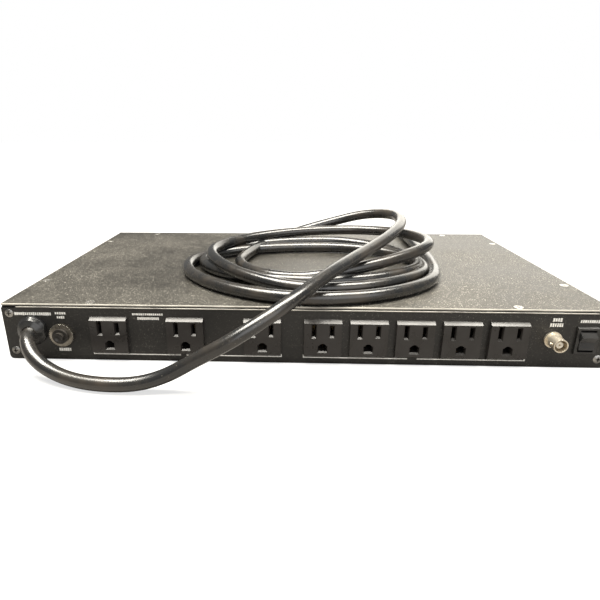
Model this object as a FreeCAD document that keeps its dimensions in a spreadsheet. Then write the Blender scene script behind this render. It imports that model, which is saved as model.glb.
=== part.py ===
import FreeCAD, Part
import Sketcher
import math
import os
import re

# A rack power strip: a low steel case with eight outlets in its rear wall, a captive mains cord,
# a push-to-reset breaker, a bayonet lamp socket with its own rocker switch, and a master switch in
# front. Millimetres. X is the width, Y the depth (rear wall at -Y), Z up. The origin is the middle
# of the case's underside.

os.makedirs("parts", exist_ok=True)
doc = FreeCAD.newDocument("rack_power_strip")
X, Y, Z = FreeCAD.Vector(1, 0, 0), FreeCAD.Vector(0, 1, 0), FreeCAD.Vector(0, 0, 1)

# ---------------------------------------------------------------- driving dimensions
SIZES = {
    # case
    "body_width": 432, "body_depth": 254, "body_height": 43.7,
    "pan_sheet": 1.2, "cover_sheet": 1.2, "cover_gap": 0.3, "fascia_sheet": 3,
    "flange_width": 12, "flange_notch": 10, "side_flange": 9.8, "bend_radius": 1.6, "pan_corner": 3,
    # flush screws
    "screw_head": 3.2, "screw_shank": 1.5, "screw_reach": 6, "screw_clear": 0.2, "recess_width": 0.9, "recess_deep": 1.2,
    "recess_span": 3.4, "screw_dome": 0.9, "cover_row_inset": 5, "cover_row_pitch": 152,
    "cover_front_pitch": 168, "cover_side_first": 57, "cover_side_pitch": 147, "cover_side_inset": 6.2,
    "panel_screw_inset": 5.4, "panel_screw_low": 6.8, "panel_screw_high": 36.2,
    # bolt-on bracket holes in the side walls
    "bracket_hole": 2, "bracket_inset": 16, "bracket_pitch_y": 32, "bracket_pitch_z": 22,
    "bracket_low": 10.9,
    # outlets
    "outlet_width": 26.6, "outlet_high": 29, "outlet_face": 24.8, "outlet_proud": 3.4,
    "outlet_deep": 19, "outlet_body_width": 25.6, "outlet_body_high": 26, "outlet_clear": 0.3,
    "outlet_level": 20.1, "slot_spread": 6.35, "slot_rise": 6.4, "slot_width": 2.2,
    "neutral_slot": 8.6, "live_slot": 7.2, "ground_drop": 5.7, "ground_radius": 2.75,
    "ground_foot": 3.3, "snap_reach": 1.2, "snap_deep": 4, "snap_high": 8,
    "lead_deep": 1.4, "lead_side": 0.7, "lead_end": 1.2,
    "bank_one_x": -137.9, "bank_one_pitch": 55.5, "bank_two_x": 16.2, "bank_two_pitch": 32.4,
    # contact rails
    "rail_sheet": 0.8, "rail_high": 4, "leaf_sheet": 0.4, "leaf_deep": 12, "chamber_width": 5,
    "rail_offset": 5.6,
    # strain relief and breaker
    "relief_x": -194.5, "relief_level": 23.6, "relief_radius": 11, "relief_flat": 10,
    "relief_rim": 3.2, "relief_slope": 1.8, "relief_crown": 1.6, "relief_proud": 7.4,
    "relief_shank": 8, "relief_deep": 14, "relief_nut": 10.4, "relief_nut_thick": 4,
    "bore_clear": 0.05,
    "breaker_x": -173.4, "breaker_level": 20.2, "breaker_collar": 5.6, "breaker_proud": 5,
    "breaker_nut": 8.9, "breaker_nut_thick": 2.6, "breaker_wide": 15, "breaker_high": 28,
    "breaker_deep": 32, "breaker_bore": 12, "button_radius": 3.5, "button_proud": 7.2,
    "button_tail": 5, "button_dish": 5, "dish_sink": 0.9, "slide_clear": 0.15,
    "knurl_radius": 0.45, "tab_sheet": 0.8,
    # lamp socket
    "socket_x": 176.6, "socket_level": 21.8, "socket_flange": 6, "socket_flange_thick": 1.6,
    "socket_barrel": 4.85, "socket_bore": 4.1, "socket_proud": 12, "socket_shank": 4.7,
    "socket_deep": 12, "socket_lug": 1, "socket_lug_out": 5.6, "socket_lug_at": 4.2,
    "socket_nut": 7, "socket_nut_thick": 2.5, "insulator_radius": 2.4, "contact_radius": 0.65,
    # lamp switch
    "lamp_x": 199.5, "lamp_level": 21.2, "lamp_bezel_wide": 15, "lamp_bezel_high": 21,
    "lamp_body_wide": 12.8, "lamp_body_high": 18.8, "lamp_rocker_wide": 10.4,
    "lamp_rocker_high": 6.4, "lamp_proud": 1.8, "lamp_deep": 15,
    # master switch
    "master_x": 172, "master_level": 21.85, "master_bezel_wide": 21, "master_bezel_high": 28,
    "master_body_wide": 19, "master_body_high": 25, "master_rocker_wide": 16.4,
    "master_rocker_high": 9.4, "master_proud": 1.8, "master_deep": 18,
    # both rocker switches
    "rocker_tilt": 10, "rocker_pivot": 3, "rocker_rise": 7, "rocker_valley": 5,
    "rocker_bevel": 2.6, "rocker_neck": 3.6, "rocker_root": 2.5, "rocker_waist": 4,
    "rocker_pin": 1, "pin_clear": 0.05, "rocker_gap": 0.2, "rocker_room": 1.8,
    "rocker_shoulder": 1.5,
    # indicator lamps in the fascia
    "lens_radius": 2.5, "lens_proud": 1.5, "lens_deep": 9, "lens_x": 148, "lens_pitch": 14,
    # filter board
    "board_x": -10, "board_y": 20, "board_wide": 170, "board_deep": 90, "board_sheet": 1.6,
    "standoff_tall": 8, "standoff_radius": 3, "board_inset": 6, "choke_ring": 14, "choke_wire": 6,
    "choke_at": -50, "choke_rest": 0.2, "capacitor_at": -15, "capacitor_first": -34,
    "capacitor_pitch": 18, "varistor_at": 30, "varistor_first": -30, "varistor_pitch": 14,
    "varistor_foot": 8, "varistor_rise": 1.5,
    "relay_at": 48, "relay_first": -8, "board_head": 2.8, "board_head_thick": 1.8,
    "capacitor_wide": 26, "capacitor_thick": 10, "capacitor_tall": 18, "varistor_radius": 8,
    "varistor_thick": 4.5, "relay_wide": 22, "relay_deep": 16, "relay_tall": 16,
    # lamp transformer
    "core_x": 168, "core_y": 40, "core_wide": 42, "core_deep": 36, "core_tall": 34,
    "core_leg": 9, "coil_gap": 0.4, "winding_proud": 6,
    # earth stud and wiring
    "stud_side": 20, "stud_inset": 57, "stud_radius": 2, "stud_tall": 11, "stud_nut": 3.6,
    "wire_radius": 1.4, "lamp_wire_radius": 0.9,
    "core_spread": 2.2, "core_start": 14.8,
    # mains cord and plug
    "cord_radius": 4.9, "coil_x": 8, "coil_y": -10, "coil_outer": 119, "coil_inner": 58,
    "coil_low": 9.8, "coil_high": 19.6, "coil_raised_from": -35, "coil_raised_span": 93,
    "rest_gap": 0.1, "plug_radius": 13, "plug_long": 38,
    "plug_neck": 7, "plug_neck_long": 20, "blade_long": 18, "blade_wide": 6.3, "blade_sheet": 1.5,
    "earth_pin_radius": 2.4, "earth_pin_long": 21,
}

sheet = doc.addObject("Spreadsheet::Sheet", "Size")
for row, (alias, value) in enumerate(SIZES.items(), start=1):
    sheet.set("A%d" % row, alias)
    sheet.set("B%d" % row, str(value))
    sheet.setAlias("B%d" % row, alias)
doc.recompute()

# Places that many pieces share, as formulas on the sheet's names.
REAR = "(-body_depth / 2)"
FRONT = "(body_depth / 2)"
FASCIA_BACK = "(body_depth / 2 - fascia_sheet)"
PAN_TOP = "(body_height - cover_sheet - cover_gap)"
SIDE = "(body_width / 2)"
FLOOR = "pan_sheet"
LID = "body_height"


def ref(formula):
    """The formula with each of the sheet's names pointing at its cell."""
    return re.sub(r"[a-z]+(?:_[a-z]+)+", lambda word: "Size." + word.group(0), str(formula))


def bind(item, prop, formula):
    item.setExpression(prop, ref(formula))


def put(item, at, turn=None):
    if turn:
        item.Placement = FreeCAD.Placement(FreeCAD.Vector(), FreeCAD.Rotation(*turn))
    for axis, formula in zip("xyz", at):
        bind(item, "Placement.Base." + axis, formula)
    return item


# ---------------------------------------------------------------- shape helpers
def box(size, at):
    """A block of the given size whose lowest corner is at the point."""
    item = doc.addObject("Part::Box", "block")
    for prop, formula in zip(("Length", "Width", "Height"), size):
        bind(item, prop, formula)
    return put(item, at)


def middle_box(size, at):
    """A block centred on the point in X and Z that starts at the point in Y."""
    wide, deep, high = size
    corner = ("%s - (%s) / 2" % (at[0], wide), at[1], "%s - (%s) / 2" % (at[2], high))
    return box(size, corner)


def rod(radius, length, at, along=Z):
    item = doc.addObject("Part::Cylinder", "rod")
    bind(item, "Radius", radius)
    bind(item, "Height", length)
    turns = {(0, 0, 1): None, (0, 1, 0): (X, -90), (1, 0, 0): (Y, 90), (0, -1, 0): (X, 90),
             (0, 0, -1): (X, 180)}
    return put(item, at, turns[tuple(int(v) for v in along)])


def cone(radius, end_radius, length, at, along=Z):
    item = doc.addObject("Part::Cone", "cone")
    bind(item, "Radius1", radius)
    bind(item, "Radius2", end_radius)
    bind(item, "Height", length)
    turns = {(0, 0, 1): None, (0, 1, 0): (X, -90), (0, -1, 0): (X, 90), (0, 0, -1): (X, 180)}
    return put(item, at, turns[tuple(int(v) for v in along)])


def fuse(*pieces):
    item = doc.addObject("Part::MultiFuse", "joined")
    item.Shapes = list(pieces)
    return item


def cut(base, *tools):
    item = doc.addObject("Part::Cut", "cut")
    item.Base = base
    item.Tool = tools[0] if len(tools) == 1 else fuse(*tools)
    return item


def group(*pieces):
    item = doc.addObject("Part::Compound", "set")
    item.Links = list(pieces)
    return item


def prism(plane, points, length, at=(0, 0, 0), round_off=None):
    """A body padded from a closed outline whose every corner is bound to the sheet."""
    body = doc.addObject("PartDesign::Body", "body")
    sketch = body.newObject("Sketcher::SketchObject", "outline")
    base = [item for item in body.Origin.OriginFeatures if item.Role == plane][0]
    sketch.AttachmentSupport = [(base, "")]
    sketch.MapMode = "FlatFace"
    count = len(points)
    spots = [FreeCAD.Vector(50 * math.cos(2 * math.pi * i / count),
                            50 * math.sin(2 * math.pi * i / count), 0) for i in range(count)]
    for i in range(count):
        sketch.addGeometry(Part.LineSegment(spots[i], spots[(i + 1) % count]), False)
    for i in range(count):
        sketch.addConstraint(Sketcher.Constraint("Coincident", i, 2, (i + 1) % count, 1))
    for i, point in enumerate(points):
        for kind, start, formula in (("DistanceX", spots[i].x, point[0]),
                                     ("DistanceY", spots[i].y, point[1])):
            place = sketch.addConstraint(Sketcher.Constraint(kind, -1, 1, i, 1, start))
            bind(sketch, "Constraints[%d]" % place, formula)
    pad = body.newObject("PartDesign::Pad", "pad")
    pad.Profile = sketch
    pad.Midplane = True
    bind(pad, "Length", length)
    doc.recompute()
    if round_off:
        for radius, wanted in round_off:
            last = body.Tip
            edges = ["Edge%d" % (n + 1) for n, edge in enumerate(last.Shape.Edges) if wanted(edge)]
            fillet = body.newObject("PartDesign::Fillet", "rounding")
            fillet.Base = (last, edges)
            bind(fillet, "Radius", radius)
            body.Tip = fillet
            doc.recompute()
    return put(body, at)


def along_x(edge):
    return abs(edge.tangentAt(edge.FirstParameter).x) > 0.999


def along_y(edge):
    return abs(edge.tangentAt(edge.FirstParameter).y) > 0.999


NODES = []


def node(name, item):
    item.Label = name
    NODES.append(item)
    return item


# ---------------------------------------------------------------- flush screws
def flush_screw(at, out):
    """A countersunk screw with a cross recess, its rim flush with the point. In the upright walls its
    top is domed; in the cover it is flat, as the coil of cord lies on it."""
    inward = out.negative()
    head = cone("screw_head", "screw_shank", "screw_head - screw_shank", at, inward)
    shank = rod("screw_shank", "screw_reach", at, inward)
    half = "recess_span / 2"
    if abs(out.z) > 0.5:
        start = "%s - recess_deep" % at[2]
        bars = [box(("recess_span", "recess_width", "2 * recess_deep"),
                    ("%s - %s" % (at[0], half), "%s - recess_width / 2" % at[1], start)),
                box(("recess_width", "recess_span", "2 * recess_deep"),
                    ("%s - recess_width / 2" % at[0], "%s - %s" % (at[1], half), start))]
        return cut(fuse(head, shank), *bars)
    ball = "((screw_head ^ 2 + screw_dome ^ 2) / (2 * screw_dome))"
    sphere = doc.addObject("Part::Sphere", "dome")
    bind(sphere, "Radius", ball)
    put(sphere, (at[0], "%s %s (%s - screw_dome)" % (at[1], "+" if out.y < 0 else "-", ball), at[2]))
    dome = doc.addObject("Part::Common", "dome")
    dome.Base, dome.Tool = sphere, rod("screw_head", "screw_dome", at, out)
    start = "%s - recess_deep" % at[1]
    bars = [box(("recess_span", "2 * recess_deep", "recess_width"),
                ("%s - %s" % (at[0], half), start, "%s - recess_width / 2" % at[2])),
            box(("recess_width", "2 * recess_deep", "recess_span"),
                ("%s - recess_width / 2" % at[0], start, "%s - %s" % (at[2], half)))]
    return cut(fuse(head, shank, dome), *bars)


def screw_seat(at, out):
    """The countersink and clearance hole for one flush screw."""
    inward = out.negative()
    return [cone("screw_head + screw_clear", "screw_shank + screw_clear", "screw_head - screw_shank",
                 at, inward),
            rod("screw_shank + screw_clear", "screw_reach + 2", at, inward)]


REAR_ROW = [(x, REAR + " + cover_row_inset", LID) for x in ("-cover_row_pitch", "0", "cover_row_pitch")]
FRONT_ROW = [(x, FASCIA_BACK + " - cover_row_inset", LID)
             for x in ("-cover_front_pitch", "0", "cover_front_pitch")]
SIDE_ROWS = [("%s (%s - cover_side_inset)" % (sign, SIDE),
              REAR + " + cover_side_first + %d * cover_side_pitch" % i, LID)
             for sign in ("-1 *", "1 *") for i in (0, 1)]
COVER_SCREWS = REAR_ROW + FRONT_ROW + SIDE_ROWS
CORNERS = [("%s (%s - panel_screw_inset)" % (sign, SIDE), level)
           for sign in ("-1 *", "1 *") for level in ("panel_screw_low", "panel_screw_high")]

OUTLETS = [("bank_one_x + %d * bank_one_pitch" % i, 1) for i in range(3)]
OUTLETS += [("bank_two_x + %d * bank_two_pitch" % i, 2) for i in range(5)]
BOARD_CORNERS = [("board_x + %d * (board_wide / 2 - board_inset)" % i,
                  "board_y + %d * (board_deep / 2 - board_inset)" % j)
                 for i in (-1, 1) for j in (-1, 1)]
BOARD_UNDER = "(pan_sheet + standoff_tall)"
BOARD_TOP = "(pan_sheet + standoff_tall + board_sheet)"


# ---------------------------------------------------------------- case
INSIDE_LENGTH = "(body_depth - fascia_sheet - 2 * pan_sheet)"
FLANGE_EDGE = "(%s - flange_notch)" % SIDE


def make_base_pan():
    """Underside and both sides bent from one sheet, with flanges turned in all round."""
    top = PAN_TOP
    outline = [("-" + SIDE, "0"), (SIDE, "0"), (SIDE, top), (SIDE + " - side_flange", top),
               (SIDE + " - side_flange", top + " - pan_sheet"), (SIDE + " - pan_sheet", top + " - pan_sheet"),
               (SIDE + " - pan_sheet", "pan_sheet"), ("pan_sheet - " + SIDE, "pan_sheet"),
               ("pan_sheet - " + SIDE, top + " - pan_sheet"), ("side_flange - " + SIDE, top + " - pan_sheet"),
               ("side_flange - " + SIDE, top), ("-" + SIDE, top)]
    half, thick = float(sheet.get("body_width")) / 2, float(sheet.get("pan_sheet"))
    roof = float(sheet.get("body_height")) - float(sheet.get("cover_sheet")) - float(sheet.get("cover_gap"))

    def corner(across, level):
        def wanted(edge):
            at = edge.CenterOfMass
            return along_y(edge) and abs(abs(at.x) - across) < 0.01 and abs(at.z - level) < 0.01
        return wanted

    shell = prism("XZ_Plane", outline, INSIDE_LENGTH, (0, "-fascia_sheet / 2", 0),
                  [("pan_corner", corner(half, 0)), ("pan_corner - pan_sheet", corner(half - thick, thick)),
                   ("bend_radius", corner(half, roof))])
    returns, holes = [], []
    for sign in ("-1 *", "1 *"):
        for y in (REAR + " + pan_sheet", FASCIA_BACK + " - 2 * pan_sheet"):
            tall = "%s - pan_sheet - 2 * pan_corner" % top
            middle = "%s (%s - side_flange / 2 - pan_sheet / 4)" % (sign, SIDE)
            returns.append(middle_box(("side_flange - pan_sheet / 2", "pan_sheet", tall),
                                      (middle, y, "pan_sheet + pan_corner + (%s) / 2" % tall)))
        for i in (0, 1):
            for j in (0, 1):
                spot = ("%s (%s - pan_sheet / 2) - pan_sheet" % (sign, SIDE),
                        FASCIA_BACK + " - bracket_inset - %d * bracket_pitch_y" % i,
                        "bracket_low + %d * bracket_pitch_z" % j)
                holes.append(rod("bracket_hole", "2 * pan_sheet", spot, X))
    for x, level in CORNERS:
        holes += screw_seat((x, REAR, level), Y.negative())
        holes += screw_seat((x, FRONT, level), Y)
    for x, y, _ in SIDE_ROWS:
        holes.append(rod("screw_shank + screw_clear", "pan_sheet + 2", (x, y, top + " - pan_sheet - 1")))
    for x, y in BOARD_CORNERS:
        holes.append(rod("screw_shank + screw_clear", "pan_sheet + 2", (x, y, "-1")))
    return node("base_pan", cut(fuse(shell, *returns), *holes))


def end_wall(wall, inward, openings):
    """A flat end wall with a flange along its top and another along its foot, both turned inward."""
    sign = "+" if inward > 0 else "-"
    skin, lip = "%s %s pan_sheet" % (wall, sign), "%s %s flange_width" % (wall, sign)
    outline = [(wall, "0"), (skin, "0"), (skin, "pan_sheet"), (lip, "pan_sheet"), (lip, "2 * pan_sheet"),
               (skin, "2 * pan_sheet"), (skin, PAN_TOP + " - pan_sheet"), (lip, PAN_TOP + " - pan_sheet"),
               (lip, PAN_TOP), (wall, PAN_TOP)]
    half = float(sheet.get("body_width")) / 2
    roof = float(sheet.get("body_height")) - float(sheet.get("cover_sheet")) - float(sheet.get("cover_gap"))
    depth = float(sheet.get("body_depth")) / 2
    face = -depth if inward > 0 else depth - float(sheet.get("fascia_sheet"))

    def top_bend(edge):
        at = edge.CenterOfMass
        return along_x(edge) and abs(at.y - face) < 0.01 and abs(at.z - roof) < 0.01

    def foot_corner(edge):
        at = edge.CenterOfMass
        return along_y(edge) and at.z < 0.01 and abs(abs(at.x) - half) < 0.01

    shell = prism("YZ_Plane", outline, "body_width",
                  round_off=[("bend_radius", top_bend), ("pan_corner", foot_corner)])
    notch_start = wall + " - 1" if inward > 0 else wall + " - flange_width - 1"
    low_start = wall + " + pan_sheet" if inward > 0 else wall + " - flange_width - 1"
    notches = []
    for x in ("-" + SIDE, FLANGE_EDGE):
        notches.append(box(("flange_notch", "flange_width + 2", "pan_sheet + 3"),
                           (x, notch_start, PAN_TOP + " - pan_sheet - 0.6")))
        notches.append(box(("flange_notch", "flange_width + 1 - (%s)" % ("0" if inward > 0 else "pan_sheet"),
                            "pan_sheet + 0.2"), (x, low_start, "pan_sheet - 0.1")))
    return cut(shell, *(notches + openings))


def make_end_walls():
    rear, front = REAR, FASCIA_BACK
    openings = []
    for x, level in CORNERS:
        openings += screw_seat((x, rear, level), Y.negative())
    for x, y, _ in REAR_ROW:
        openings.append(rod("screw_shank + screw_clear", "pan_sheet + 2", (x, y, PAN_TOP + " - pan_sheet - 1")))
    for x, _ in OUTLETS:
        openings.append(middle_box(("outlet_body_width + 2 * outlet_clear", "pan_sheet + 2",
                                    "outlet_body_high + 2 * outlet_clear"),
                                   (x, rear + " - 1", "outlet_level")))
    for x, level, radius in (("relief_x", "relief_level", "relief_shank + outlet_clear"),
                             ("breaker_x", "breaker_level", "breaker_collar + outlet_clear"),
                             ("socket_x", "socket_level", "socket_shank + outlet_clear")):
        openings.append(rod(radius, "pan_sheet + 2", (x, rear + " - 1", level), Y))
    openings.append(middle_box(("lamp_body_wide + outlet_clear", "pan_sheet + 2",
                                "lamp_body_high + outlet_clear"),
                               ("lamp_x", rear + " - 1", "lamp_level")))
    node("rear_wall", end_wall(rear, 1, openings))

    openings = []
    for x, level in CORNERS:
        openings += screw_seat((x, FRONT, level), Y)
    for x, y, _ in FRONT_ROW:
        openings.append(rod("screw_shank + screw_clear", "pan_sheet + 2", (x, y, PAN_TOP + " - pan_sheet - 1")))
    openings.append(middle_box(("master_body_wide + outlet_clear", "pan_sheet + 2",
                                "master_body_high + outlet_clear"),
                               ("master_x", front + " - pan_sheet - 1", "master_level")))
    for i in (0, 1):
        openings.append(rod("lens_radius + outlet_clear", "pan_sheet + 2",
                            ("lens_x - %d * lens_pitch" % i, front + " - pan_sheet - 1", "master_level"), Y))
    node("front_wall", end_wall(front, -1, openings))


def make_top_cover():
    outline = [("-" + SIDE, REAR), (SIDE, REAR), (SIDE, FASCIA_BACK), ("-" + SIDE, FASCIA_BACK)]

    def upright(edge):
        return abs(edge.tangentAt(edge.FirstParameter).z) > 0.999

    def top_edge(edge):
        return edge.BoundBox.ZMin > thick / 2 - 0.01

    thick = float(sheet.get("cover_sheet"))
    plate = prism("XY_Plane", outline, "cover_sheet", (0, 0, "body_height - cover_sheet / 2"),
                  [("cover_sheet", upright), ("cover_sheet * 0.6", top_edge)])
    seats = []
    for spot in COVER_SCREWS:
        seats += screw_seat(spot, Z)
    return node("top_cover", cut(plate, *seats))


def make_front_panel():
    outline = [("-" + SIDE, FASCIA_BACK), (SIDE, FASCIA_BACK), (SIDE, FRONT), ("-" + SIDE, FRONT)]
    face = float(sheet.get("body_depth")) / 2

    def face_edge(edge):
        return abs(edge.CenterOfMass.y - face) < 0.01

    plate = prism("XY_Plane", outline, "body_height", (0, 0, "body_height / 2"),
                  [("fascia_sheet / 4", face_edge)])
    holes = [middle_box(("master_body_wide + outlet_clear", "fascia_sheet + 2",
                         "master_body_high + outlet_clear"),
                        ("master_x", FASCIA_BACK + " - 1", "master_level"))]
    for i in (0, 1):
        holes.append(rod("lens_radius + outlet_clear / 2", "fascia_sheet + 2",
                         ("lens_x - %d * lens_pitch" % i, FASCIA_BACK + " - 1", "master_level"), Y))
    for x, level in CORNERS:
        holes += screw_seat((x, FRONT, level), Y)
    return node("front_panel", cut(plate, *holes))


# ---------------------------------------------------------------- outlets and their contact rails
def lead_in(x, level, wide, high):
    """The funnel that guides a blade or pin into its slot, cut from the outlet's face."""
    funnel = doc.addObject("Part::Wedge", "lead_in")
    for prop, formula in (("Xmin", "-(%s) / 2 - 2 * lead_side" % wide), ("Xmax", "(%s) / 2 + 2 * lead_side" % wide),
                          ("Zmin", "-(%s) / 2 - 2 * lead_end" % high), ("Zmax", "(%s) / 2 + 2 * lead_end" % high),
                          ("Ymin", "-lead_deep"), ("Ymax", "lead_deep"),
                          ("X2min", "-(%s) / 2" % wide), ("X2max", "(%s) / 2" % wide),
                          ("Z2min", "-(%s) / 2" % high), ("Z2max", "(%s) / 2" % high)):
        bind(funnel, prop, formula)
    return put(funnel, (x, REAR + " - outlet_proud", level))


def make_outlet(name, x):
    """One snap-in grounded outlet: a bevelled face on a deep body with slots and contact chambers."""
    half, face = "outlet_high / 2", "outlet_face / 2"
    outline = [(REAR, "outlet_level - " + half), (REAR, "outlet_level + " + half),
               (REAR + " - outlet_proud", "outlet_level + " + face),
               (REAR + " - outlet_proud", "outlet_level - " + face)]
    bezel = prism("YZ_Plane", outline, "outlet_width", (x, 0, 0))
    body = middle_box(("outlet_body_width", "outlet_deep", "outlet_body_high"), (x, REAR, "outlet_level"))
    snaps = [middle_box(("outlet_body_width + 2 * snap_reach", "snap_deep", "snap_high"),
                        (x, REAR + " + pan_sheet + outlet_clear", "outlet_level"))]
    start = REAR + " - outlet_proud - 1"
    through = "outlet_proud + outlet_deep + 2"
    upper = "outlet_level + slot_rise"
    lower = "outlet_level - ground_drop"
    neutral, live = "%s - slot_spread" % x, "%s + slot_spread" % x
    tools = [middle_box(("slot_width", through, "neutral_slot"), (neutral, start, upper)),
             middle_box(("slot_width", through, "live_slot"), (live, start, upper)),
             rod("ground_radius", through, (x, start, lower), Y),
             box(("2 * ground_radius", through, "ground_foot"),
                 ("%s - ground_radius" % x, start, lower + " - ground_foot")),
             lead_in(neutral, upper, "slot_width", "neutral_slot"),
             lead_in(live, upper, "slot_width", "live_slot"),
             lead_in(x, lower + " - ground_foot / 2", "2 * ground_radius", "ground_foot")]
    back = REAR + " + outlet_deep - leaf_deep - 1"
    deep = "leaf_deep + 2"
    tools.append(middle_box(("chamber_width", deep, "neutral_slot + 2.6"), (neutral, back, upper + " - 1.2")))
    tools.append(middle_box(("chamber_width", deep, "live_slot + 3"), (live, back, upper)))
    tools.append(middle_box(("chamber_width + 3", deep, "2 * ground_radius + 2"), (x, back, lower)))
    return node(name, cut(fuse(bezel, body, *snaps), *tools))


def make_rail(name, bank, shift, level, strip_level, slot, gap):
    """A brass strip behind one bank of outlets with a pair of spring leaves into each of them."""
    places = [x for x, own in OUTLETS if own == bank]
    back = REAR + " + outlet_deep + 0.3"
    first, last = places[0], places[-1]
    strip = box(("(%s) - (%s) + 8" % (last, first), "rail_sheet", "rail_high"),
                ("%s %s - 4" % (first, shift), back, strip_level + " - rail_high / 2"))
    leaves = []
    for x in places:
        for side in ("-1", "1"):
            leaf = box(("leaf_sheet", "leaf_deep + 0.3", slot),
                       ("%s %s + %s * %s - leaf_sheet / 2" % (x, shift, side, gap),
                        REAR + " + outlet_deep - leaf_deep", level + " - (%s) / 2" % slot))
            foot = "(abs(%s - (%s)) + rail_high / 2 + (%s) / 2)" % (strip_level, level, slot)
            top = "(%s) - (%s) / 2" % (level, slot)
            if name.startswith("live"):
                leg = box(("leaf_sheet", "rail_sheet", foot),
                          ("%s %s + %s * %s - leaf_sheet / 2" % (x, shift, side, gap), back, top))
            else:
                leg = box(("leaf_sheet", "rail_sheet", foot),
                          ("%s %s + %s * %s - leaf_sheet / 2" % (x, shift, side, gap), back,
                           strip_level + " - rail_high / 2"))
            leaves += [leaf, leg]
    return node(name, fuse(strip, *leaves))


def make_rails():
    upper = "(outlet_level + slot_rise)"
    lower = "(outlet_level - ground_drop)"
    for bank, word in ((1, "one"), (2, "two")):
        make_rail("live_rail_bank_" + word, bank, "+ slot_spread", upper,
                  "(%s + rail_offset)" % upper, "live_slot - 0.6", "(slot_width / 2 + 0.1)")
        make_rail("neutral_rail_bank_" + word, bank, "- slot_spread", upper,
                  "(%s - rail_offset)" % upper, "live_slot - 0.6", "(slot_width / 2 + 0.1)")
        make_rail("earth_rail_bank_" + word, bank, "+ 0", lower, lower, "4", "(ground_radius + 0.1)")


# ---------------------------------------------------------------- strain relief and breaker
def make_strain_relief():
    """A moulded bushing: a faceted dome outside, a shank through the wall, and a nut inside."""
    level = "relief_level"
    rim = rod("relief_radius", "relief_rim", ("relief_x", REAR + " - relief_rim", level), Y)
    slope = cone("relief_radius", "relief_radius - relief_slope", "(relief_proud - relief_rim) / 2",
                 ("relief_x", REAR + " - relief_rim", level), Y.negative())
    nose = cone("relief_radius - relief_slope", "relief_radius - 2 * relief_slope - relief_crown",
                "(relief_proud - relief_rim) / 2",
                ("relief_x", REAR + " - (relief_proud + relief_rim) / 2", level), Y.negative())
    shank = rod("relief_shank", "relief_deep", ("relief_x", REAR, level), Y)
    bore = rod("cord_radius + bore_clear", "relief_proud + relief_deep + 2",
               ("relief_x", REAR + " - relief_proud - 1", level), Y)
    flats = [box(("relief_radius", "relief_proud + 1", "3 * relief_radius"),
                 ("relief_x + %s" % start, REAR + " - relief_proud - 1", level + " - 1.5 * relief_radius"))
             for start in ("relief_flat", "-relief_flat - relief_radius")]
    node("strain_relief", cut(fuse(rim, slope, nose, shank), bore, *flats))
    nut = rod("relief_nut", "relief_nut_thick", ("relief_x", REAR + " + pan_sheet", level), Y)
    hole = rod("relief_shank + bore_clear", "relief_nut_thick + 2", ("relief_x", REAR + " + pan_sheet - 1", level), Y)
    node("strain_relief_nut", cut(nut, hole))


def make_breaker():
    """The push-to-reset breaker: body behind the wall, threaded collar, knurled nut and button."""
    level = "breaker_level"
    collar = rod("breaker_collar", "breaker_proud + pan_sheet",
                 ("breaker_x", REAR + " - breaker_proud", level), Y)
    body = middle_box(("breaker_wide", "breaker_deep", "breaker_high"),
                      ("breaker_x", REAR + " + pan_sheet", level))
    bore = rod("button_radius + slide_clear", "breaker_proud + breaker_bore",
               ("breaker_x", REAR + " - breaker_proud - 1", level), Y)
    tabs = [middle_box(("tab_sheet", "7", "6"),
                       ("breaker_x", REAR + " + pan_sheet + breaker_deep", level + " %s 8" % sign))
            for sign in ("+", "-")]
    node("breaker_body", cut(fuse(collar, body, *tabs), bore))
    ring = rod("breaker_nut", "breaker_nut_thick", ("breaker_x", REAR + " - breaker_nut_thick", level), Y)
    hole = rod("breaker_collar + bore_clear", "breaker_nut_thick + 2",
               ("breaker_x", REAR + " - breaker_nut_thick - 1", level), Y)
    teeth = 36
    knurls = [rod("knurl_radius", "breaker_nut_thick + 2",
                  ("breaker_x + breaker_nut * cos(%d)" % (i * 360 // teeth),
                   REAR + " - breaker_nut_thick - 1", level + " + breaker_nut * sin(%d)" % (i * 360 // teeth)),
                  Y) for i in range(teeth)]
    node("breaker_nut", cut(ring, hole, *knurls))
    stem = rod("button_radius", "button_proud + button_tail", ("breaker_x", REAR + " - button_proud", level), Y)
    dish = doc.addObject("Part::Sphere", "dish")
    bind(dish, "Radius", "button_dish")
    put(dish, ("breaker_x", REAR + " - button_proud - button_dish + dish_sink", level))
    node("reset_button", cut(stem, dish))


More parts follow.
